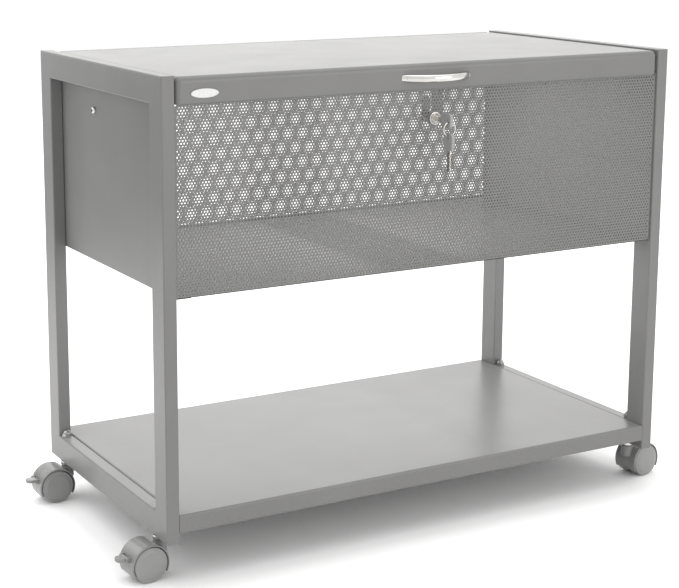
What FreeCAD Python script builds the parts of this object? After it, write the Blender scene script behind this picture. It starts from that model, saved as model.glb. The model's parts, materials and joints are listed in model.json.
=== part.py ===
import FreeCAD, Part
import math
import os

# A locking file cart on casters: two end frames of flat tube carry a lidded box with perforated
# front and back walls above and an open tray shelf below.
# Millimetres. X runs along the cart, Y from front to back, Z up, the floor is at zero.

Vector = FreeCAD.Vector
X_AXIS = Vector(1, 0, 0)
Y_AXIS = Vector(0, 1, 0)
Z_AXIS = Vector(0, 0, 1)

# Overall sizes of the end frames.
WIDTH = 838.2
DEPTH = 431.8
HEIGHT = 685.8
LEG_FOOT = 58.0
TUBE_THICK = 19.05
TUBE_WIDE = 38.1
TUBE_WALL = 1.5
TUBE_ROUND = 2.0

# The origin is midway between the key's end in front and the frames behind.
MIDDLE_Y = 19.5
FRONT = MIDDLE_Y - DEPTH / 2
BACK = MIDDLE_Y + DEPTH / 2
INNER_X = WIDTH / 2 - TUBE_THICK

# The file box.
BOX_SHEET = 0.9
PANEL_INSET = 3.9
BOX_BOTTOM = 393.5
FRONT_PANEL_TOP = 668.0
REAR_PANEL_TOP = 676.0
END_PANEL_TOP = 678.0
TOP_HEM = 8.0
BOTTOM_HEM = 14.0
END_FLANGE = 22.0
REAR_RETURN = 8.0
WALL_X = INNER_X - BOX_SHEET
PANEL_NOTCH_X = WALL_X - 4.6
PANEL_FRONT = FRONT + PANEL_INSET
PANEL_BACK = BACK - PANEL_INSET

# The button in each end panel.
STUD_HEAD_R = 5.0
STUD_PROUD = 5.0
STUD_DOME = 2.6

# The lid.
LID_TOP = 684.0
LID_SHEET = 1.0
LID_HALF = 398.4
LID_ROUND = 8.0
LIP_DEPTH = 35.0
SIDE_DEPTH = 16.0
LID_FRONT = FRONT
LID_BACK = BACK - 10.8

# The pull, the blank badge and the strike, all on the lid's front lip.
HANDLE_HALF = 48.0
HANDLE_BOW = 27.0
HANDLE_Z = 665.0
HANDLE_TALL = 10.0
HANDLE_DEEP = 6.5
BADGE_X = -357.8
BADGE_Z = 661.5
BADGE_LONG = 20.0
BADGE_TALL = 6.2
BADGE_THICK = 1.4
STRIKE_X = (13.0, 31.0)
STRIKE_PLATE = 1.5

# The piano hinge along the lid's back edge.
HINGE_Y = BACK - 7.8
HINGE_Z = LID_TOP - 3.0
KNUCKLE_R = 3.0
HINGE_BORE_R = 1.3
HINGE_PIN_R = 1.25
HINGE_LEAF = 0.9
HINGE_HALF = 390.0
KNUCKLES = 15
KNUCKLE_GAP = 0.4
LEAF_TOP = HINGE_Z - 4.0
LEAF_BOTTOM = HINGE_Z - 17.0

# The lock in the middle of the front panel.
LOCK_Z = 606.5
LOCK_HEAD_R = 9.2
LOCK_HEAD = 3.0
BARREL_R = 8.0
BARREL_LENGTH = 20.0
PLUG_R = 6.0
PLUG_PROUD = 1.5
LOCK_FACE = PANEL_FRONT - LOCK_HEAD
PLUG_END = LOCK_FACE + BARREL_LENGTH + 4.0
CAM_REACH = 30.0
CAM_THICK = 2.0
RUNNING = 0.05

# Keys and their ring.
KEY_BOW_LENGTH = 24.0
KEY_BOW_WIDE = 20.0
KEY_BOW_THICK = 5.0
KEY_BLADE_LENGTH = 30.0
KEY_BLADE_WIDE = 7.0
KEY_BLADE_THICK = 2.0
KEY_HOLE_R = 3.0
KEY_HOLE_INSET = 5.5
KEY_OUTER_END = FRONT - 39.1
RING_R = 9.5
RING_WIRE_R = 0.9
RING_DROP = 1.6

# The tray shelf.
SHELF_TOP = 97.0
SHELF_SHEET = 1.2
SHELF_LIP = 24.5
SHELF_SIDE = 18.0
SHELF_BEND = 3.0
SHELF_INSET = 0.4
SCREW_Z = 86.0
SCREW_R = 2.0

# Casters.
STEM_X = WIDTH / 2 - TUBE_THICK / 2
STEM_INSET = 45.0
STEM_R = 4.0
COLLAR_R = 10.0
WHEEL_R = 25.0
WHEEL_WIDE = 18.0
WHEEL_GAP = 2.7
TRAIL = 24.0
AXLE_R = 4.0
HOOD_R = 28.3
HOOD_INNER_R = 26.2
HOOD_HALF = 20.4
HOOD_TIP_Z = 12.0
BOSS_R = 9.5
BOSS_TOP = 51.0
BOSS_FLOOR = 38.0
WEB_HALF = 2.1
LEVER_ANGLE = 20.0
LEVER_PIVOT_R = 31.5
LEVER_REACH = 14.0
CASTERS = {
    "left_front": (-1, -1, 184.0, True),
    "left_rear": (-1, 1, 180.0, True),
    "right_front": (1, -1, 8.0, False),
    "right_rear": (1, 1, 20.0, False),
}


def box(x0, x1, y0, y1, z0, z1):
    return Part.makeBox(x1 - x0, y1 - y0, z1 - z0, Vector(x0, y0, z0))


def rod(radius, start, end):
    run = end - start
    return Part.makeCylinder(radius, run.Length, start, run)


def cone(radius0, radius1, start, end):
    run = end - start
    return Part.makeCone(radius0, radius1, run.Length, start, run)


def fuse(shapes):
    return shapes[0].multiFuse(shapes[1:]).removeSplitter()


def edges_along(shape, axis):
    found = []
    for edge in shape.Edges:
        if edge.Curve.TypeId == "Part::GeomLine":
            if abs(edge.Curve.Direction.dot(axis)) > 0.999:
                found.append(edge)
    return found


def prism(points, run):
    corners = points + [points[0]]
    return Part.Face(Part.makePolygon(corners)).extrude(run)


def save(name, shape):
    shape.exportStep("parts/" + name + ".step")


# ---------------------------------------------------------------- end frames


def flat_tube(start, end, wide_axis):
    run = end - start
    half_x = X_AXIS * (TUBE_THICK / 2)
    half_w = wide_axis * (TUBE_WIDE / 2)
    corners = [start + half_x + half_w, start - half_x + half_w]
    corners += [start - half_x - half_w, start + half_x - half_w]
    outside = prism(corners, run)
    outside = outside.makeFillet(TUBE_ROUND, edges_along(outside, Vector(run).normalize()))
    half_x = X_AXIS * (TUBE_THICK / 2 - TUBE_WALL)
    half_w = wide_axis * (TUBE_WIDE / 2 - TUBE_WALL)
    corners = [start + half_x + half_w, start - half_x + half_w]
    corners += [start - half_x - half_w, start + half_x - half_w]
    return outside.cut(prism(corners, run))


def mitre(mid_x, outline):
    left = mid_x - TUBE_THICK
    points = [Vector(left, y, z) for y, z in outline]
    return prism(points, X_AXIS * (2 * TUBE_THICK))


def leg(mid_x, outer_y, inner_y):
    mid_y = (outer_y + inner_y) / 2
    tube = flat_tube(Vector(mid_x, mid_y, LEG_FOOT), Vector(mid_x, mid_y, HEIGHT), Y_AXIS)
    outline = [(outer_y, LEG_FOOT), (outer_y, HEIGHT)]
    outline += [(inner_y, HEIGHT - TUBE_WIDE), (inner_y, LEG_FOOT + TUBE_WIDE)]
    return tube.common(mitre(mid_x, outline))


def rail(mid_x, outer_z, inner_z):
    mid_z = (outer_z + inner_z) / 2
    tube = flat_tube(Vector(mid_x, FRONT, mid_z), Vector(mid_x, BACK, mid_z), Z_AXIS)
    outline = [(FRONT, outer_z), (BACK, outer_z)]
    outline += [(BACK - TUBE_WIDE, inner_z), (FRONT + TUBE_WIDE, inner_z)]
    return tube.common(mitre(mid_x, outline))


def end_frame(side):
    mid_x = side * STEM_X
    bottom = rail(mid_x, LEG_FOOT, LEG_FOOT + TUBE_WIDE)
    for y in (FRONT + STEM_INSET, BACK - STEM_INSET):
        hole = rod(STEM_R + RUNNING, Vector(mid_x, y, 0), Vector(mid_x, y, LEG_FOOT + 60))
        bottom = bottom.cut(hole)
    for y in shelf_screw_rows():
        bottom = bottom.cut(rod(SCREW_R + RUNNING, Vector(0, y, SCREW_Z), Vector(mid_x, y, SCREW_Z)))
    return {
        "front_leg": leg(mid_x, FRONT, FRONT + TUBE_WIDE),
        "rear_leg": leg(mid_x, BACK, BACK - TUBE_WIDE),
        "top_rail": rail(mid_x, HEIGHT, HEIGHT - TUBE_WIDE),
        "bottom_rail": bottom,
    }


# ---------------------------------------------------------------- file box


def end_panel(side):
    wall = box(WALL_X, INNER_X, PANEL_FRONT, PANEL_BACK, BOX_BOTTOM - BOX_SHEET, END_PANEL_TOP)
    foot = box(INNER_X - END_FLANGE, INNER_X, PANEL_FRONT + 0.6, PANEL_BACK - 0.6,
               BOX_BOTTOM - BOX_SHEET, BOX_BOTTOM)
    return_back = PANEL_BACK - BOX_SHEET
    floor_top = BOX_BOTTOM + 2 * BOX_SHEET
    rear = box(INNER_X - REAR_RETURN, INNER_X, return_back - BOX_SHEET, return_back,
               floor_top, LEAF_BOTTOM - 2)
    panel = fuse([wall, foot, rear])
    panel = panel.cut(stud_hole())
    if side < 0:
        panel = panel.mirror(Vector(0, 0, 0), X_AXIS)
    return panel


def stud_spot():
    return MIDDLE_Y + 52.0, 613.0


def stud_hole():
    y, z = stud_spot()
    return rod(3.0 + RUNNING, Vector(WALL_X - 5, y, z), Vector(INNER_X + 5, y, z))


def panel_stud():
    # A domed button through the end panel, with a washer nut inside.
    y, z = stud_spot()
    head = rod(STUD_HEAD_R, Vector(INNER_X, y, z), Vector(INNER_X + STUD_PROUD, y, z))
    rim = [edge for edge in head.Edges if edge.Closed and edge.CenterOfMass.x > INNER_X + 1]
    head = head.makeFillet(STUD_DOME, rim)
    shank = rod(3.0, Vector(WALL_X - 4, y, z), Vector(INNER_X, y, z))
    nut = rod(5.5, Vector(WALL_X - 3, y, z), Vector(WALL_X, y, z))
    return fuse([head, shank, nut])


def front_panel():
    wall = box(-WALL_X, WALL_X, PANEL_FRONT, PANEL_FRONT + BOX_SHEET, BOX_BOTTOM, FRONT_PANEL_TOP)
    top = box(-WALL_X, WALL_X, PANEL_FRONT, PANEL_FRONT + TOP_HEM,
              FRONT_PANEL_TOP - BOX_SHEET, FRONT_PANEL_TOP)
    bottom = box(-WALL_X, WALL_X, PANEL_FRONT, PANEL_FRONT + BOTTOM_HEM,
                 BOX_BOTTOM, BOX_BOTTOM + BOX_SHEET)
    panel = fuse([wall, top, bottom])
    # The top corners are notched so that the closed lid's rounded corners clear them.
    for side in (-1, 1):
        ends = sorted((side * PANEL_NOTCH_X, side * WALL_X))
        panel = panel.cut(box(ends[0], ends[1], PANEL_FRONT, PANEL_FRONT + TOP_HEM,
                              LID_TOP - LIP_DEPTH - 2.5, FRONT_PANEL_TOP))
    panel = panel.cut(rod(BARREL_R + RUNNING, Vector(0, FRONT - 5, LOCK_Z), Vector(0, FRONT + 25, LOCK_Z)))
    return panel


def rear_panel():
    wall = box(-WALL_X, WALL_X, PANEL_BACK - BOX_SHEET, PANEL_BACK, BOX_BOTTOM, REAR_PANEL_TOP)
    bottom = box(-WALL_X, WALL_X, PANEL_BACK - BOTTOM_HEM, PANEL_BACK,
                 BOX_BOTTOM, BOX_BOTTOM + BOX_SHEET)
    return fuse([wall, bottom])


def box_floor():
    low = BOX_BOTTOM + BOX_SHEET
    return box(-WALL_X, WALL_X, PANEL_FRONT + BOX_SHEET, PANEL_BACK - BOX_SHEET, low, low + BOX_SHEET)


# ---------------------------------------------------------------- lid


def lid_outside(shrink, low):
    reach = LID_HALF - shrink
    front = LID_FRONT + shrink
    back = LID_BACK - shrink
    block = box(-reach, reach, front, back, low, LID_TOP - shrink)
    block = block.makeFillet(LID_ROUND - shrink, edges_along(block, Z_AXIS))
    top_edges = []
    for edge in block.Edges:
        heights = [vertex.Point.z for vertex in edge.Vertexes]
        if min(heights) > LID_TOP - shrink - 0.01:
            top_edges.append(edge)
    return block.makeFillet(LID_ROUND - shrink, top_edges)


def lid_shell():
    low = LID_TOP - LIP_DEPTH
    shell = lid_outside(0, low).cut(lid_outside(LID_SHEET, low - 5))
    behind_lip = box(-LID_HALF - 5, LID_HALF + 5, LID_FRONT + LID_ROUND + 2, LID_BACK + 5,
                     low - 1, LID_TOP - SIDE_DEPTH)
    shell = shell.cut(behind_lip)
    for x in handle_feet():
        shell = shell.cut(rod(SCREW_R + RUNNING, Vector(x, LID_FRONT - 2, HANDLE_Z),
                              Vector(x, LID_FRONT + 3, HANDLE_Z)))
    return shell


def handle_feet():
    return (-HANDLE_HALF, HANDLE_HALF)


def lid_handle():
    # An arched pull: one arc of a flattened oval bar whose ends sink square onto the lip.
    chord = HANDLE_HALF + 5.0
    middle = HANDLE_BOW - HANDLE_DEEP / 2
    radius = (chord * chord + middle * middle) / (2 * middle)
    centre = Vector(0, LID_FRONT - middle + radius, HANDLE_Z)
    spread = math.asin(chord / radius) + 0.12
    start = centre + Vector(-radius * math.sin(spread), -radius * math.cos(spread), 0)
    arc = Part.Arc(start, centre - Y_AXIS * radius, centre + Vector(radius * math.sin(spread),
                                                                   -radius * math.cos(spread), 0))
    path = Part.Wire([arc.toShape()])
    tangent = Vector(math.cos(spread), -math.sin(spread), 0)
    across = tangent.cross(Z_AXIS)
    oval = Part.Ellipse(start + Z_AXIS * (HANDLE_TALL / 2), start + across * (HANDLE_DEEP / 2), start)
    profile = Part.Wire([oval.toShape()])
    bar = path.makePipeShell([profile], True, True)
    reach = chord + 40
    bar = bar.common(box(-reach, reach, LID_FRONT - 60, LID_FRONT, HANDLE_Z - 20, HANDLE_Z + 20))
    for x in handle_feet():
        # A flat-ended foot inside each end takes the screw.
        bar = bar.fuse(rod(4.2, Vector(x, LID_FRONT - 6.0, HANDLE_Z), Vector(x, LID_FRONT, HANDLE_Z)))
    bar = bar.removeSplitter()
    for x in handle_feet():
        bar = bar.cut(rod(SCREW_R + 0.02, Vector(x, LID_FRONT - 4.6, HANDLE_Z),
                          Vector(x, LID_FRONT + 1, HANDLE_Z)))
    return bar


def handle_screws():
    screws = []
    for x in handle_feet():
        inner = LID_FRONT + LID_SHEET
        head = cone(3.8, 3.0, Vector(x, inner, HANDLE_Z), Vector(x, inner + 1.8, HANDLE_Z))
        shank = rod(SCREW_R, Vector(x, LID_FRONT - 4.3, HANDLE_Z), Vector(x, inner + 0.5, HANDLE_Z))
        screws.append(fuse([head, shank]))
    return Part.makeCompound(screws)


def badge_plate():
    face = Vector(BADGE_X, LID_FRONT, BADGE_Z)
    oval = Part.Ellipse(face + X_AXIS * BADGE_LONG, face + Z_AXIS * BADGE_TALL, face)
    plate = Part.Face(Part.Wire([oval.toShape()])).extrude(Y_AXIS * -BADGE_THICK)
    front_rim = [e for e in plate.Edges if e.CenterOfMass.y < LID_FRONT - BADGE_THICK + 0.01]
    return plate.makeFillet(0.6, front_rim[:1])


def lid_strike():
    # Hangs from under the lid; the cam turns in above its forward-turned foot.
    x0, x1 = STRIKE_X
    under = LID_TOP - LID_SHEET
    plate_front = PLUG_END + CAM_THICK + 2.0
    plate_back = plate_front + STRIKE_PLATE
    ledge_top = LOCK_Z - 6.5
    plate = box(x0, x1, plate_front, plate_back, ledge_top - STRIKE_PLATE, under)
    tab = box(x0, x1, plate_front, plate_front + 18, under - STRIKE_PLATE, under)
    ledge = box(x0, x1, plate_front - 6, plate_front, ledge_top - STRIKE_PLATE, ledge_top)
    return fuse([plate, tab, ledge])


# ---------------------------------------------------------------- hinge


def knuckle_spans(parity):
    pitch = 2 * HINGE_HALF / KNUCKLES
    spans = []
    for index in range(KNUCKLES):
        if index % 2 == parity:
            start = -HINGE_HALF + index * pitch
            spans.append((start + KNUCKLE_GAP / 2, start + pitch - KNUCKLE_GAP / 2))
    return spans


def hinge_leaf(parity, near, far):
    plate = box(-HINGE_HALF, HINGE_HALF, min(near, far), max(near, far), LEAF_BOTTOM, LEAF_TOP)
    pieces = [plate]
    for x0, x1 in knuckle_spans(parity):
        pieces.append(box(x0, x1, min(near, far), max(near, far), LEAF_TOP, HINGE_Z))
        pieces.append(rod(KNUCKLE_R, Vector(x0, HINGE_Y, HINGE_Z), Vector(x1, HINGE_Y, HINGE_Z)))
    leaf = fuse(pieces)
    bore = rod(HINGE_BORE_R, Vector(-HINGE_HALF - 5, HINGE_Y, HINGE_Z),
               Vector(HINGE_HALF + 5, HINGE_Y, HINGE_Z))
    return leaf.cut(bore)


def lid_hinge_leaf():
    return hinge_leaf(1, HINGE_Y - KNUCKLE_R, HINGE_Y - KNUCKLE_R + HINGE_LEAF)


def box_hinge_leaf():
    return hinge_leaf(0, HINGE_Y + KNUCKLE_R, HINGE_Y + KNUCKLE_R - HINGE_LEAF)


def hinge_pin():
    return rod(HINGE_PIN_R, Vector(-HINGE_HALF, HINGE_Y, HINGE_Z), Vector(HINGE_HALF, HINGE_Y, HINGE_Z))


# ---------------------------------------------------------------- lock and keys


def lock_point(y):
    return Vector(0, y, LOCK_Z)


def lock_body():
    back = PANEL_FRONT + BARREL_LENGTH - LOCK_HEAD
    head = rod(LOCK_HEAD_R, lock_point(LOCK_FACE), lock_point(PANEL_FRONT))
    rim = [e for e in head.Edges if e.CenterOfMass.y < LOCK_FACE + 0.01 and e.Closed]
    head = head.makeFillet(1.2, rim[:1])
    barrel = rod(BARREL_R, lock_point(PANEL_FRONT - 1), lock_point(back))
    body = fuse([head, barrel])
    return body.cut(rod(PLUG_R + RUNNING, lock_point(FRONT - 10), lock_point(back + 5)))


def lock_nut():
    inside = PANEL_FRONT + BOX_SHEET
    points = []
    for index in range(6):
        turn = math.radians(60 * index)
        points.append(Vector(12.0 * math.cos(turn), inside, LOCK_Z + 12.0 * math.sin(turn)))
    nut = prism(points, Y_AXIS * 3.5)
    return nut.cut(rod(BARREL_R + RUNNING, lock_point(inside - 5), lock_point(inside + 9)))


def key_blade_box(grow):
    half_t = KEY_BLADE_THICK / 2 + grow
    half_w = KEY_BLADE_WIDE / 2 + grow
    bow_inner = KEY_OUTER_END + KEY_BOW_LENGTH
    tip = bow_inner + KEY_BLADE_LENGTH + grow
    return box(-half_t, half_t, bow_inner, tip, LOCK_Z - half_w, LOCK_Z + half_w)


def lock_plug():
    core = rod(PLUG_R, lock_point(LOCK_FACE - PLUG_PROUD), lock_point(PLUG_END))
    spigot = box(-3, 3, PLUG_END, PLUG_END + CAM_THICK, LOCK_Z - 3, LOCK_Z + 3)
    return fuse([core, spigot]).cut(key_blade_box(0.1))


def lock_cam():
    # A flat bar on the plug's square end, upright while the lid is free.
    bar = box(-6, 6, PLUG_END, PLUG_END + CAM_THICK, LOCK_Z - 7, LOCK_Z + CAM_REACH)
    bar = bar.makeFillet(5.5, edges_along(bar, Y_AXIS))
    return bar.cut(box(-3.05, 3.05, PLUG_END - 1, PLUG_END + 5, LOCK_Z - 3.05, LOCK_Z + 3.05))


def plain_key():
    # A key along +Y with its head's outer end at the origin, lying in the YZ plane.
    half_t = KEY_BOW_THICK / 2
    bow = box(-half_t, half_t, 0, KEY_BOW_LENGTH, -KEY_BOW_WIDE / 2, KEY_BOW_WIDE / 2)
    bow = bow.makeFillet(6.0, edges_along(bow, X_AXIS))
    bow = bow.makeFillet(1.0, [e for e in bow.Edges if abs(abs(e.CenterOfMass.x) - half_t) < 0.01])
    bow = bow.cut(rod(KEY_HOLE_R, Vector(-9, KEY_HOLE_INSET, 0), Vector(9, KEY_HOLE_INSET, 0)))
    half_b = KEY_BLADE_THICK / 2
    half_w = KEY_BLADE_WIDE / 2
    tip = KEY_BOW_LENGTH + KEY_BLADE_LENGTH
    blade = box(-half_b, half_b, KEY_BOW_LENGTH - 6, tip, -half_w, half_w)
    blade = blade.makeChamfer(2.0, [e for e in edges_along(blade, X_AXIS) if e.CenterOfMass.y > tip - 1])
    for index in range(4):
        y = KEY_BOW_LENGTH + 8 + 5.0 * index
        notch = prism([Vector(-3, y - 2, -half_w), Vector(-3, y, -half_w + 1.6), Vector(-3, y + 2, -half_w)],
                      X_AXIS * 6)
        blade = blade.cut(notch)
    return fuse([bow, blade])


def lock_key():
    key = plain_key()
    key.translate(Vector(0, KEY_OUTER_END, LOCK_Z))
    return key


def ring_hang():
    # The ring's topmost wire centre, resting low in the key's hole.
    return Vector(0, KEY_OUTER_END + KEY_HOLE_INSET, LOCK_Z - RING_DROP)


def key_ring():
    centre = ring_hang() - Z_AXIS * RING_R
    return Part.makeTorus(RING_R, RING_WIRE_R, centre, Y_AXIS)


def spare_key():
    key = plain_key()
    key.rotate(Vector(0, 0, 0), X_AXIS, -90)
    wire = ring_hang() - Z_AXIS * (2 * RING_R)
    key.translate(wire - Z_AXIS * (RING_DROP - KEY_HOLE_INSET))
    return key


# ---------------------------------------------------------------- shelf


def shelf_screw_rows():
    return (MIDDLE_Y - 110.0, MIDDLE_Y + 110.0)


def tray(shrink):
    reach = INNER_X - shrink
    front = FRONT + SHELF_INSET + shrink
    back = BACK - SHELF_INSET - shrink
    block = box(-reach, reach, front, back, SHELF_TOP - SHELF_LIP - shrink, SHELF_TOP - shrink)
    top_edges = [e for e in block.Edges if e.CenterOfMass.z > SHELF_TOP - shrink - 0.01]
    return block.makeFillet(SHELF_BEND - shrink, top_edges)


def bottom_shelf():
    shelf = tray(0).cut(tray(SHELF_SHEET))
    open_side = box(-INNER_X - 5, INNER_X + 5, FRONT + 20, BACK - 20,
                    SHELF_TOP - SHELF_LIP - 1, SHELF_TOP - SHELF_SIDE)
    shelf = shelf.cut(open_side)
    for y in shelf_screw_rows():
        shelf = shelf.cut(rod(SCREW_R + RUNNING, Vector(-INNER_X - 5, y, SCREW_Z),
                              Vector(INNER_X + 5, y, SCREW_Z)))
    return shelf


def shelf_screws():
    screws = []
    for side in (-1, 1):
        for y in shelf_screw_rows():
            inner = side * (INNER_X - SHELF_SHEET)
            head = cone(3.8, 3.0, Vector(inner, y, SCREW_Z), Vector(inner - side * 2.0, y, SCREW_Z))
            shank = rod(SCREW_R, Vector(inner - side * 0.5, y, SCREW_Z),
                        Vector(inner + side * 8.0, y, SCREW_Z))
            screws.append(fuse([head, shank]))
    return Part.makeCompound(screws)


# ---------------------------------------------------------------- casters


def stem_places():
    for name, (side_x, side_y, heading, braked) in CASTERS.items():
        yield Vector(side_x * STEM_X, MIDDLE_Y + side_y * (DEPTH / 2 - STEM_INSET), 0)


def caster_stems():
    stems = []
    for spot in stem_places():
        shank = rod(STEM_R, spot + Z_AXIS * (BOSS_FLOOR + 1), spot + Z_AXIS * 104)
        collar = rod(COLLAR_R, spot + Z_AXIS * (BOSS_TOP + 0.8), spot + Z_AXIS * LEG_FOOT)
        low = [e for e in collar.Edges if e.Closed]
        collar = collar.makeFillet(1.2, low)
        stems.append(fuse([shank, collar]))
    return Part.makeCompound(stems)


def stem_nuts():
    nuts = []
    for spot in stem_places():
        low = spot + Z_AXIS * (LEG_FOOT + TUBE_WIDE)
        points = []
        for index in range(6):
            turn = math.radians(60 * index)
            points.append(low + Vector(math.cos(turn), math.sin(turn), 0) * 7.5)
        body = prism(points, Z_AXIS * 5.0)
        dome = Part.makeSphere(6.0, low + Z_AXIS * 4.5)
        dome = dome.common(box(low.x - 9, low.x + 9, low.y - 9, low.y + 9, low.z + 4, low.z + 12))
        nut = fuse([body, dome])
        nuts.append(nut.cut(rod(STEM_R + RUNNING, low - Z_AXIS, low + Z_AXIS * 8.5)))
    return Part.makeCompound(nuts)


def place(shape, name):
    side_x, side_y, heading, braked = CASTERS[name]
    shape = shape.copy()
    shape.rotate(Vector(0, 0, 0), Z_AXIS, heading)
    shape.translate(Vector(side_x * STEM_X, MIDDLE_Y + side_y * (DEPTH / 2 - STEM_INSET), 0))
    return shape


def hub(y):
    return Vector(TRAIL, y, WHEEL_R)


def caster_hood(braked):
    # A fender over both wheels, a middle web that holds the axle and a boss for the stem.
    fender = rod(HOOD_R, hub(-HOOD_HALF), hub(HOOD_HALF))
    fender = fender.makeFillet(1.6, [e for e in fender.Edges if e.Closed])
    fender = fender.cut(rod(HOOD_INNER_R, hub(-HOOD_HALF - 1), hub(HOOD_HALF + 1)))
    fender = fender.cut(box(TRAIL - 40, TRAIL + 40, -40, 40, -20, HOOD_TIP_Z))
    web = rod(HOOD_INNER_R + 0.5, hub(-WEB_HALF), hub(WEB_HALF))
    web = web.cut(box(TRAIL - 40, TRAIL + 40, -40, 40, -20, HOOD_TIP_Z))
    boss = rod(BOSS_R, Vector(0, 0, BOSS_FLOOR - 4), Vector(0, 0, BOSS_TOP))
    boss = boss.makeFillet(1.0, [e for e in boss.Edges if e.Closed and e.CenterOfMass.z > BOSS_TOP - 1])
    boss = boss.cut(rod(HOOD_INNER_R, hub(-40), hub(40)))
    pieces = [fender, web, boss]
    if braked:
        pieces += lever_ears()
    hood = fuse(pieces)
    hood = hood.cut(rod(STEM_R + RUNNING, Vector(0, 0, BOSS_FLOOR), Vector(0, 0, 70)))
    hood = hood.cut(rod(AXLE_R + RUNNING, hub(-10), hub(10)))
    if braked:
        hood = hood.cut(rod(1.6, lever_pivot(-15), lever_pivot(15)))
    return hood


def lever_pivot(y):
    turn = math.radians(LEVER_ANGLE)
    return hub(y) + Vector(math.cos(turn), 0, math.sin(turn)) * LEVER_PIVOT_R


def lever_ears():
    ears = []
    inner = hub(0) + (lever_pivot(0) - hub(0)) * (27.0 / LEVER_PIVOT_R)
    for side in (-1, 1):
        start = Y_AXIS * (side * 8.3)
        run = Y_AXIS * (side * 2.4)
        tip = rod(3.4, lever_pivot(0) + start, lever_pivot(0) + start + run)
        base = prism([inner + start + Vector(1.2, 0, -4), inner + start + Vector(-1.6, 0, 4.2),
                      lever_pivot(0) + start + Vector(0, 0, 3.4),
                      lever_pivot(0) + start + Vector(0, 0, -3.4)], run)
        ears += [tip, base]
    return ears


def brake_lever():
    # A foot tongue on a pivot pin, level while the wheels run free.
    knuckle = rod(2.8, lever_pivot(-8.0), lever_pivot(8.0))
    pin = rod(1.5, lever_pivot(-10.6), lever_pivot(10.6))
    pivot = lever_pivot(0)
    tongue = box(pivot.x, pivot.x + LEVER_REACH, -8.0, 8.0, pivot.z - 2.4, pivot.z + 2.0)
    far = [e for e in edges_along(tongue, Z_AXIS) if e.CenterOfMass.x > pivot.x + 1]
    tongue = tongue.makeFillet(6.5, far)
    upper = [e for e in tongue.Edges if e.CenterOfMass.z > pivot.z + 1.9]
    tongue = tongue.makeFillet(0.8, [e for e in upper if e.CenterOfMass.x > pivot.x + 0.5])
    return fuse([knuckle, pin, tongue])


def caster_wheel(side):
    inner = side * WHEEL_GAP
    outer = side * (WHEEL_GAP + WHEEL_WIDE)
    wheel = rod(WHEEL_R, hub(inner), hub(outer))
    wheel = wheel.makeFillet(2.0, [e for e in wheel.Edges if e.Closed])
    crown = side * 1.0
    cap = cone(WHEEL_R - 3.5, WHEEL_R - 7.0, hub(outer), hub(outer + crown))
    wheel = wheel.fuse(cap).removeSplitter()
    return wheel.cut(rod(AXLE_R + RUNNING, hub(inner - side), hub(outer - side * 2.0)))


def caster_axle():
    reach = WHEEL_GAP + WHEEL_WIDE - 2.3
    return rod(AXLE_R, hub(-reach), hub(reach))


# ---------------------------------------------------------------- write everything


def all_parts():
    parts = {}
    for side, side_name in ((-1, "left"), (1, "right")):
        for name, shape in end_frame(side).items():
            parts[side_name + "_" + name] = shape
        parts[side_name + "_end_panel"] = end_panel(side)
    parts["front_panel"] = front_panel()
    parts["rear_panel"] = rear_panel()
    parts["box_floor"] = box_floor()
    stud = panel_stud()
    parts["panel_studs"] = Part.makeCompound([stud, stud.mirror(Vector(0, 0, 0), X_AXIS)])
    parts["lid_shell"] = lid_shell()
    parts["lid_handle"] = lid_handle()
    parts["handle_screws"] = handle_screws()
    parts["badge_plate"] = badge_plate()
    parts["lid_strike"] = lid_strike()
    parts["lid_hinge_leaf"] = lid_hinge_leaf()
    parts["box_hinge_leaf"] = box_hinge_leaf()
    parts["hinge_pin"] = hinge_pin()
    parts["lock_body"] = lock_body()
    parts["lock_nut"] = lock_nut()
    parts["lock_plug"] = lock_plug()
    parts["lock_cam"] = lock_cam()
    parts["lock_key"] = lock_key()
    parts["key_ring"] = key_ring()
    parts["spare_key"] = spare_key()
    parts["bottom_shelf"] = bottom_shelf()
    parts["shelf_screws"] = shelf_screws()
    parts["caster_stems"] = caster_stems()
    parts["stem_nuts"] = stem_nuts()
    for name, (side_x, side_y, heading, braked) in CASTERS.items():
        parts[name + "_caster_hood"] = place(caster_hood(braked), name)
        parts[name + "_caster_axle"] = place(caster_axle(), name)
        parts[name + "_wheel_a"] = place(caster_wheel(-1), name)
        parts[name + "_wheel_b"] = place(caster_wheel(1), name)
        if braked:
            parts[name + "_brake_lever"] = place(brake_lever(), name)
    return parts


os.makedirs("parts", exist_ok=True)
for part_name, part_shape in all_parts().items():
    save(part_name, part_shape)
    print(part_name, part_shape.isValid(), len(part_shape.Solids), round(part_shape.Volume / 1000, 2))
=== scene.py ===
import json
import math

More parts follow.
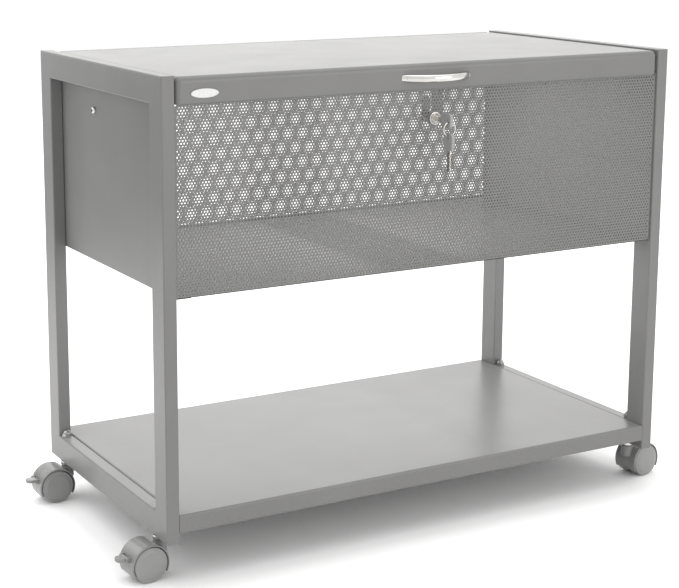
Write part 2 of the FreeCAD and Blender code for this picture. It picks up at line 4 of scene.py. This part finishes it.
import bpy
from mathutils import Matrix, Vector


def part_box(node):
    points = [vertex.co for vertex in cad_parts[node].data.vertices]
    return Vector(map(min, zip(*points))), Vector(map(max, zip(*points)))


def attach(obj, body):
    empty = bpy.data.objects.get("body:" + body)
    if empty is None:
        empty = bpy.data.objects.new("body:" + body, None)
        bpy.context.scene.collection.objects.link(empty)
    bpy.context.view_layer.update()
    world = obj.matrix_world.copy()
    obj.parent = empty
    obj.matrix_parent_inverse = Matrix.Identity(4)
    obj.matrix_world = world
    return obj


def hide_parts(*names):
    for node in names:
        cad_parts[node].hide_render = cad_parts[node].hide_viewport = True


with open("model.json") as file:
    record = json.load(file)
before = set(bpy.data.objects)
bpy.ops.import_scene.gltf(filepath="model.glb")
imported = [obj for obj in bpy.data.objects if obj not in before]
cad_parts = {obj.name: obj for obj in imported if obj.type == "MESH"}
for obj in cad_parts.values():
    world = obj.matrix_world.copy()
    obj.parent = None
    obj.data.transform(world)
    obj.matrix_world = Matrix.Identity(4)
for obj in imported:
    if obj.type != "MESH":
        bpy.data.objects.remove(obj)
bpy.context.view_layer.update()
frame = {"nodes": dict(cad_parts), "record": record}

# Metres, watts and radians. The file cart stands on the floor at zero, its lock side faces -Y.

# The perforated walls: sheet thickness, round holes in staggered rows, plain edges.
SHEET = 0.0009
HOLE_PITCH = 0.005
HOLE_RADIUS = 0.00162
HOLE_CORNERS = 12
ROW_STEP = HOLE_PITCH * math.sqrt(3) / 2
EDGE_MARGIN = 0.002
TOP_MARGIN = 0.0005
REAR_LOW_MARGIN = 0.006
HINGE_MARGIN = 0.010
LOCK_CLEAR = 0.0095
HEM_DEPTH = 0.008

# The first hole's place from each wall's low corner. The two patterns are out of step, and
# where their holes meet decides what is seen through both walls.
FRONT_FIRST_X = 0.00165
REAR_FIRST_X = 0.0007
REAR_ROW_SHIFT = 0.47

# The front wall is narrower above this height, to clear the lid's folded corners.
PANEL_NOTCH_TOP = 0.6465
PANEL_NOTCH_X = 0.39455

# The keys: length of the moulded bow, and half the width of its edge with the bare blade.
BOW_LENGTH = 0.024
BOW_EDGE = 0.0004

WHITE = (1.0, 1.0, 1.0)
MICRONS = 1e6


# ---------------------------------------------------------------- node helpers


def new_material(name):
    material = bpy.data.materials.new(name)
    material.use_nodes = True
    nodes = material.node_tree.nodes
    links = material.node_tree.links
    return material, nodes, links, nodes["Principled BSDF"]


def object_point(nodes):
    return nodes.new("ShaderNodeTexCoord").outputs["Object"]


def noise(nodes, links, scale, detail=2.0, rough=0.5):
    node = nodes.new("ShaderNodeTexNoise")
    node.inputs["Scale"].default_value = scale
    node.inputs["Detail"].default_value = detail
    node.inputs["Roughness"].default_value = rough
    links.new(object_point(nodes), node.inputs["Vector"])
    return node.outputs["Fac"]


def stretch(nodes, links, value, low, high):
    # Spreads a noise's middle values over the range from low to high.
    node = nodes.new("ShaderNodeMapRange")
    node.inputs["From Min"].default_value = 0.3
    node.inputs["From Max"].default_value = 0.7
    node.inputs["To Min"].default_value = low
    node.inputs["To Max"].default_value = high
    links.new(value, node.inputs["Value"])
    return node.outputs["Result"]


def blend_colours(nodes, links, factor, colour_a, colour_b):
    node = nodes.new("ShaderNodeMix")
    node.data_type = "RGBA"
    links.new(factor, node.inputs["Factor"])
    for socket, colour in ((node.inputs["A"], colour_a), (node.inputs["B"], colour_b)):
        if isinstance(colour, tuple):
            socket.default_value = (*colour, 1.0)
        else:
            links.new(colour, socket)
    return node.outputs["Result"]


def bump(nodes, links, height, distance, strength):
    node = nodes.new("ShaderNodeBump")
    node.inputs["Distance"].default_value = distance
    node.inputs["Strength"].default_value = strength
    links.new(height, node.inputs["Height"])
    return node.outputs["Normal"]


# ---------------------------------------------------------------- materials


def powder_coat():
    # Baked powder: a fine speckle in the colour and an orange-peel skin under a satin gloss.
    material, nodes, links, shader = new_material("powder_coat")
    cloud = stretch(nodes, links, noise(nodes, links, 9.0, 3.0), 0.0, 1.0)
    base = blend_colours(nodes, links, cloud, (0.143, 0.142, 0.140), (0.156, 0.155, 0.153))
    speck = stretch(nodes, links, noise(nodes, links, 1400.0, 1.0), 0.0, 0.16)
    colour = blend_colours(nodes, links, speck, base, (0.34, 0.34, 0.34))
    links.new(colour, shader.inputs["Base Color"])
    shine = stretch(nodes, links, noise(nodes, links, 14.0, 3.0), 0.32, 0.35)
    links.new(shine, shader.inputs["Roughness"])
    peel = noise(nodes, links, 420.0, 2.0)
    links.new(bump(nodes, links, peel, 0.00006, 0.5), shader.inputs["Normal"])
    shader.inputs["Specular IOR Level"].default_value = 0.38
    shader.inputs["Coat Weight"].default_value = 0.05
    shader.inputs["Coat Roughness"].default_value = 0.2
    return material


def chrome():
    # Polished plating: slightly warm, with faint rub marks in its gloss.
    material, nodes, links, shader = new_material("chrome")
    shader.inputs["Metallic"].default_value = 1.0
    haze = stretch(nodes, links, noise(nodes, links, 60.0, 3.0), 0.0, 1.0)
    colour = blend_colours(nodes, links, haze, (0.60, 0.585, 0.565), (0.70, 0.685, 0.665))
    links.new(colour, shader.inputs["Base Color"])
    rub = stretch(nodes, links, noise(nodes, links, 240.0, 3.0), 0.08, 0.17)
    links.new(rub, shader.inputs["Roughness"])
    wave = noise(nodes, links, 180.0, 1.0)
    links.new(bump(nodes, links, wave, 0.00004, 0.4), shader.inputs["Normal"])
    return material


def zinc_plate():
    # Dull grey plating, mottled in colour and gloss.
    material, nodes, links, shader = new_material("zinc_plate")
    shader.inputs["Metallic"].default_value = 1.0
    mottle = stretch(nodes, links, noise(nodes, links, 350.0, 4.0, 0.65), 0.0, 1.0)
    colour = blend_colours(nodes, links, mottle, (0.30, 0.30, 0.295), (0.38, 0.38, 0.38))
    links.new(colour, shader.inputs["Base Color"])
    links.new(stretch(nodes, links, mottle, 0.45, 0.30), shader.inputs["Roughness"])
    links.new(bump(nodes, links, mottle, 0.00005, 0.4), shader.inputs["Normal"])
    return material


def badge_metal():
    # Brushed-looking plate with a fine grain.
    material, nodes, links, shader = new_material("badge_metal")
    shader.inputs["Metallic"].default_value = 1.0
    grain = stretch(nodes, links, noise(nodes, links, 700.0, 3.0), 0.0, 1.0)
    colour = blend_colours(nodes, links, grain, (0.46, 0.46, 0.46), (0.56, 0.56, 0.56))
    links.new(colour, shader.inputs["Base Color"])
    links.new(stretch(nodes, links, grain, 0.28, 0.42), shader.inputs["Roughness"])
    links.new(bump(nodes, links, grain, 0.00003, 0.4), shader.inputs["Normal"])
    return material


def moulded_plastic(name, dark, light, smooth, rough, grain_scale):
    # Injection-moulded plastic: a faint texture, flow marks in the gloss and pale scuffs.
    material, nodes, links, shader = new_material(name)
    flow = stretch(nodes, links, noise(nodes, links, 30.0, 2.0), 0.2, 0.8)
    base = blend_colours(nodes, links, flow, dark, light)
    scuff = stretch(nodes, links, noise(nodes, links, 260.0, 6.0, 0.7), -0.9, 0.15)
    worn = tuple(channel * 1.8 for channel in light)
    links.new(blend_colours(nodes, links, scuff, base, worn), shader.inputs["Base Color"])
    links.new(stretch(nodes, links, flow, smooth, rough), shader.inputs["Roughness"])
    grain = noise(nodes, links, grain_scale, 2.0)
    links.new(bump(nodes, links, grain, 0.00005, 0.5), shader.inputs["Normal"])
    return material


def key_finish(name, axis, bow_side, blade_side):
    # A dark moulded bow up to one level along an axis, and a bright plated blade past the other.
    material, nodes, links, shader = new_material(name)
    parts = nodes.new("ShaderNodeSeparateXYZ")
    links.new(object_point(nodes), parts.inputs["Vector"])
    beyond = nodes.new("ShaderNodeMapRange")
    beyond.inputs["From Min"].default_value = bow_side
    beyond.inputs["From Max"].default_value = blade_side
    links.new(parts.outputs[axis], beyond.inputs["Value"])
    blade = beyond.outputs["Result"]
    speck = stretch(nodes, links, noise(nodes, links, 500.0, 3.0), 0.0, 1.0)
    bow_colour = blend_colours(nodes, links, speck, (0.26, 0.26, 0.258), (0.30, 0.30, 0.298))
    blade_colour = blend_colours(nodes, links, speck, (0.50, 0.485, 0.46), (0.62, 0.60, 0.57))
    links.new(blend_colours(nodes, links, blade, bow_colour, blade_colour), shader.inputs["Base Color"])
    links.new(blade, shader.inputs["Metallic"])
    links.new(stretch(nodes, links, speck, 0.24, 0.36), shader.inputs["Roughness"])
    links.new(bump(nodes, links, speck, 0.00004, 0.4), shader.inputs["Normal"])
    return material


def pale_floor():
    material, nodes, links, shader = new_material("pale_floor")
    cloud = stretch(nodes, links, noise(nodes, links, 0.8, 2.0), 0.0, 1.0)
    colour = blend_colours(nodes, links, cloud, (0.965, 0.965, 0.965), (0.98, 0.98, 0.98))
    links.new(colour, shader.inputs["Base Color"])
    shader.inputs["Roughness"].default_value = 0.9
    shader.inputs["Specular IOR Level"].default_value = 0.1
    return material


def paint_frame():
    slots = {
        "powder_coat": powder_coat(),
        "chrome": chrome(),
        "zinc_plate": zinc_plate(),
        "badge_metal": badge_metal(),
        "caster_plastic": moulded_plastic("caster_plastic", (0.195, 0.194, 0.192),
                                          (0.230, 0.229, 0.227), 0.24, 0.34, 900.0),
        "wheel_plastic": moulded_plastic("wheel_plastic", (0.215, 0.214, 0.212),
                                         (0.250, 0.249, 0.247), 0.30, 0.42, 700.0),
    }
    # The key in the lock points along +Y and the spare key hangs down along -Z.
    key_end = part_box("lock_key")[0].y + BOW_LENGTH
    spare_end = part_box("spare_key")[1].z - BOW_LENGTH
    keys = {
        "lock_key": key_finish("lock_key_finish", "Y", key_end - BOW_EDGE, key_end + BOW_EDGE),
        "spare_key": key_finish("spare_key_finish", "Z", spare_end + BOW_EDGE, spare_end - BOW_EDGE),
    }
    for part in frame["record"]["subparts"]:
        node = part["node"]
        mesh = frame["nodes"][node].data
        mesh.materials.clear()
        mesh.materials.append(keys[node] if node in keys else slots[part["material_slot"]])


# ---------------------------------------------------------------- perforated panels


def clamp(value, low, high):
    return max(low, min(high, value))


class SheetMesh:
    # A flat upright sheet between two Y levels, kept inside its low and high (X, Z) corners.
    def __init__(self, near_y, far_y, low, high):
        self.levels = (near_y, far_y)
        self.low = low
        self.high = high
        self.points = []
        self.faces = []
        self.index = {}

    def point(self, x, z, level):
        # Neighbouring cells share their points.
        x = clamp(x, self.low[0], self.high[0])
        z = clamp(z, self.low[1], self.high[1])
        key = (round(x * MICRONS), round(z * MICRONS), level)
        if key not in self.index:
            self.index[key] = len(self.points)
            self.points.append((x, self.levels[level], z))
        return self.index[key]

    def ring(self, x, z, radius, corners, level):
        points = []
        for k in range(corners):
            turn = math.radians(30) + k * 2 * math.pi / corners
            points.append(self.point(x + radius * math.cos(turn), z + radius * math.sin(turn), level))
        return points

    def face(self, level, *corners):
        # A face that the sheet's edge has squeezed to a line is left out.
        if len(set(corners)) == len(corners):
            self.faces.append(corners if level == 0 else corners[::-1])

    def slab(self, x0, x1, y0, y1, z0, z1):
        # A plain closed block, for a folded hem or a strip without holes.
        first = len(self.points)
        for z in (z0, z1):
            for x, y in ((x0, y0), (x1, y0), (x1, y1), (x0, y1)):
                self.points.append((x, y, z))
        sides = ((3, 2, 1, 0), (4, 5, 6, 7), (0, 1, 5, 4), (1, 2, 6, 5), (2, 3, 7, 6), (3, 0, 4, 7))
        for side in sides:
            self.faces.append(tuple(first + corner for corner in side))


def cell(sheet, x, z, holed):
    # One six-sided cell of the pattern on both faces of the sheet, with or without its hole.
    rims = []
    for level in (0, 1):
        outer = sheet.ring(x, z, HOLE_PITCH / math.sqrt(3), 6, level)
        if not holed:
            for k in range(1, 5):
                sheet.face(level, outer[0], outer[k], outer[k + 1])
            continue
        rim = sheet.ring(x, z, HOLE_RADIUS, HOLE_CORNERS, level)
        rims.append(rim)
        for k in range(6):
            near, middle, far = rim[2 * k], rim[2 * k + 1], rim[(2 * k + 2) % HOLE_CORNERS]
            following = outer[(k + 1) % 6]
            sheet.face(level, outer[k], following, middle)
            sheet.face(level, outer[k], middle, near)
            sheet.face(level, following, far, middle)
    if holed:
        for k in range(HOLE_CORNERS):
            after = (k + 1) % HOLE_CORNERS
            sheet.face(0, rims[0][k], rims[0][after], rims[1][after], rims[1][k])


def perforate(sheet, first_x, first_z, field, keep_clear):
    # Staggered rows of holes all over the field, and plain cells out to the sheet's edges.
    # The field is its half width and its lowest and highest levels.
    rows = math.ceil((sheet.high[1] - sheet.low[1]) / ROW_STEP) + 2
    columns = math.ceil((sheet.high[0] - sheet.low[0]) / HOLE_PITCH) + 2
    for row in range(-1, rows):
        z = first_z + row * ROW_STEP
        offset = HOLE_PITCH / 2 if row % 2 else 0.0
        for column in range(-1, columns):
            x = sheet.low[0] + first_x + offset + column * HOLE_PITCH
            holed = abs(x) < field[0] and field[1] < z < field[2] and not keep_clear(x, z)
            cell(sheet, x, z, holed)


def finish_sheet(sheet, name, node):
    mesh = bpy.data.meshes.new(name)
    mesh.from_pydata(sheet.points, [], sheet.faces)
    mesh.validate()
    mesh.materials.append(frame["nodes"][node].data.materials[0])
    piece = bpy.data.objects.new(name, mesh)
    bpy.context.scene.collection.objects.link(piece)
    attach(piece, "frame")
    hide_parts(node)


def front_panel():
    low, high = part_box("front_panel")
    lock_low, lock_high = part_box("lock_body")
    lock = (lock_low + lock_high) / 2

    def near_lock(x, z):
        return math.hypot(x - lock.x, z - lock.z) < LOCK_CLEAR

    sheet = SheetMesh(low.y, low.y + SHEET, (low.x, low.z), (high.x, PANEL_NOTCH_TOP))
    field = (high.x - EDGE_MARGIN, low.z + EDGE_MARGIN, PANEL_NOTCH_TOP - TOP_MARGIN)
    perforate(sheet, FRONT_FIRST_X, low.z, field, near_lock)
    sheet.slab(-PANEL_NOTCH_X, PANEL_NOTCH_X, low.y, low.y + SHEET, PANEL_NOTCH_TOP, high.z)
    sheet.slab(-PANEL_NOTCH_X, PANEL_NOTCH_X, low.y, low.y + HEM_DEPTH, high.z - SHEET, high.z)
    sheet.slab(low.x, high.x, low.y, high.y, low.z, low.z + SHEET)
    finish_sheet(sheet, "front_panel_perforated", "front_panel")


def rear_panel():
    low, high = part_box("rear_panel")
    hinge_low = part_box("box_hinge_leaf")[0].z

    def nothing_near(x, z):
        return False

    sheet = SheetMesh(high.y - SHEET, high.y, (low.x, low.z), (high.x, high.z))
    field = (high.x - EDGE_MARGIN, low.z + REAR_LOW_MARGIN, hinge_low - HINGE_MARGIN)
    perforate(sheet, REAR_FIRST_X, low.z + REAR_ROW_SHIFT * ROW_STEP, field, nothing_near)
    sheet.slab(low.x, high.x, low.y, high.y, low.z, low.z + SHEET)
    finish_sheet(sheet, "rear_panel_perforated", "rear_panel")


# ---------------------------------------------------------------- floor, light and camera


def floor():
    # One plane, far larger than the view.
    reach = 30.0
    mesh = bpy.data.meshes.new("studio_floor")
    corners = [(-reach, -reach, 0), (reach, -reach, 0), (reach, reach, 0), (-reach, reach, 0)]
    mesh.from_pydata(corners, [], [(0, 1, 2, 3)])
    mesh.materials.append(pale_floor())
    plane = bpy.data.objects.new("studio_floor", mesh)
    bpy.context.scene.collection.objects.link(plane)


def softbox(name, place, aim, wide, tall, power, colour):
    # A flat rectangular lamp that the camera doesn't see.
    data = bpy.data.lights.new(name, "AREA")
    data.shape = "RECTANGLE"
    data.size = wide
    data.size_y = tall
    data.energy = power
    data.color = colour
    lamp = bpy.data.objects.new(name, data)
    bpy.context.scene.collection.objects.link(lamp)
    lamp.location = place
    lamp.rotation_mode = "QUATERNION"
    lamp.rotation_quaternion = (Vector(aim) - Vector(place)).to_track_quat("-Z", "Y")
    lamp.visible_camera = False
    return lamp


def world_light(strength):
    # The same soft white light from all round.
    world = bpy.data.worlds.new("studio")
    bpy.context.scene.world = world
    world.use_nodes = True
    back = world.node_tree.nodes["Background"]
    back.inputs["Color"].default_value = (1.0, 1.0, 1.0, 1.0)
    back.inputs["Strength"].default_value = strength


def studio_lights():
    # The two pools hang low and mostly light the floor. The far one makes the ground behind the
    # cart very bright, and that is what shows through the holes of both walls.
    world_light(1.04)
    softbox("overhead", (0.3, 0.2, 3.6), (0, 0, 0), 4.0, 4.0, 48.0, (1.0, 0.985, 0.97))
    softbox("back", (2.1, 3.9, 1.9), (0, 0, 0.6), 4.5, 2.2, 12.0, (1.0, 0.96, 0.94))
    softbox("front", (1.6, -3.6, 1.4), (0, 0, 0.5), 2.5, 2.0, 36.0, (1.0, 0.99, 0.98))
    softbox("floor_pool", (-1.05, 0.75, 0.75), (-1.05, 0.75, 0), 1.0, 1.0, 6.0, WHITE)
    softbox("far_pool", (1.5, 3.0, 1.0), (1.5, 3.0, 0), 3.5, 3.5, 30.0, WHITE)


def fill(name, place, aim, wide, tall, power):
    # A weak lamp in a shaded space. It doesn't show in reflections.
    lamp = softbox(name, place, aim, wide, tall, power, WHITE)
    lamp.visible_glossy = False


def fills():
    # Inside the box under the lid and towards each end, and over the shelf.
    low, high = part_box("box_floor")
    middle_y = (low.y + high.y) / 2
    under_lid = 0.655
    end_level = high.z + 0.13
    fill("box_fill", (0, middle_y, under_lid), (0, middle_y, 0), 0.70, 0.26, 1.6)
    for side, name in ((-1, "left"), (1, "right")):
        place = (side * 0.06, middle_y, end_level)
        fill(name + "_box_fill", place, (side, middle_y, end_level), 0.36, 0.22, 0.9)
    fill("shelf_fill", (0, middle_y, low.z - 0.003), (0, middle_y, 0), 0.76, 0.38, 2.0)


def flag(name, place, half_wide, half_tall):
    # A grey card that only shows in reflections, as a studio uses to shape the gloss.
    mesh = bpy.data.meshes.new(name)
    x, y, z = place
    corners = [(x - half_wide, y, z - half_tall), (x + half_wide, y, z - half_tall),
               (x + half_wide, y, z + half_tall), (x - half_wide, y, z + half_tall)]
    mesh.from_pydata(corners, [], [(0, 1, 2, 3)])
    material, _, _, shader = new_material(name)
    shader.inputs["Base Color"].default_value = (0.05, 0.05, 0.05, 1.0)
    mesh.materials.append(material)
    card = bpy.data.objects.new(name, mesh)
    bpy.context.scene.collection.objects.link(card)
    card.visible_camera = False
    card.visible_diffuse = False
    card.visible_shadow = False


def flags():
    flag("left_flag", (-1.65, 1.8, 0.24), 0.75, 0.235)
    flag("front_flag", (1.45, -2.75, 0.20), 0.35, 0.10)


def camera():
    # Stands to the front left of the cart, a little above it, and looks slightly down.
    data = bpy.data.cameras.new("camera")
    data.sensor_width = 36.0
    data.lens = 85.97
    data.shift_x = 0.0838
    data.shift_y = -0.1215
    data.dof.use_dof = False
    data.clip_start = 0.05
    data.clip_end = 100.0
    eye = bpy.data.objects.new("camera", data)
    bpy.context.scene.collection.objects.link(eye)
    eye.location = (-1.26681, -2.06077, 0.89713)
    eye.rotation_euler = (math.pi / 2 - 0.18614, 0.0, -0.50193)
    bpy.context.scene.camera = eye


# ---------------------------------------------------------------- the scene

paint_frame()
front_panel()
rear_panel()
floor()
studio_lights()
fills()
flags()
camera()
bpy.context.scene.view_settings.view_transform = "Standard"
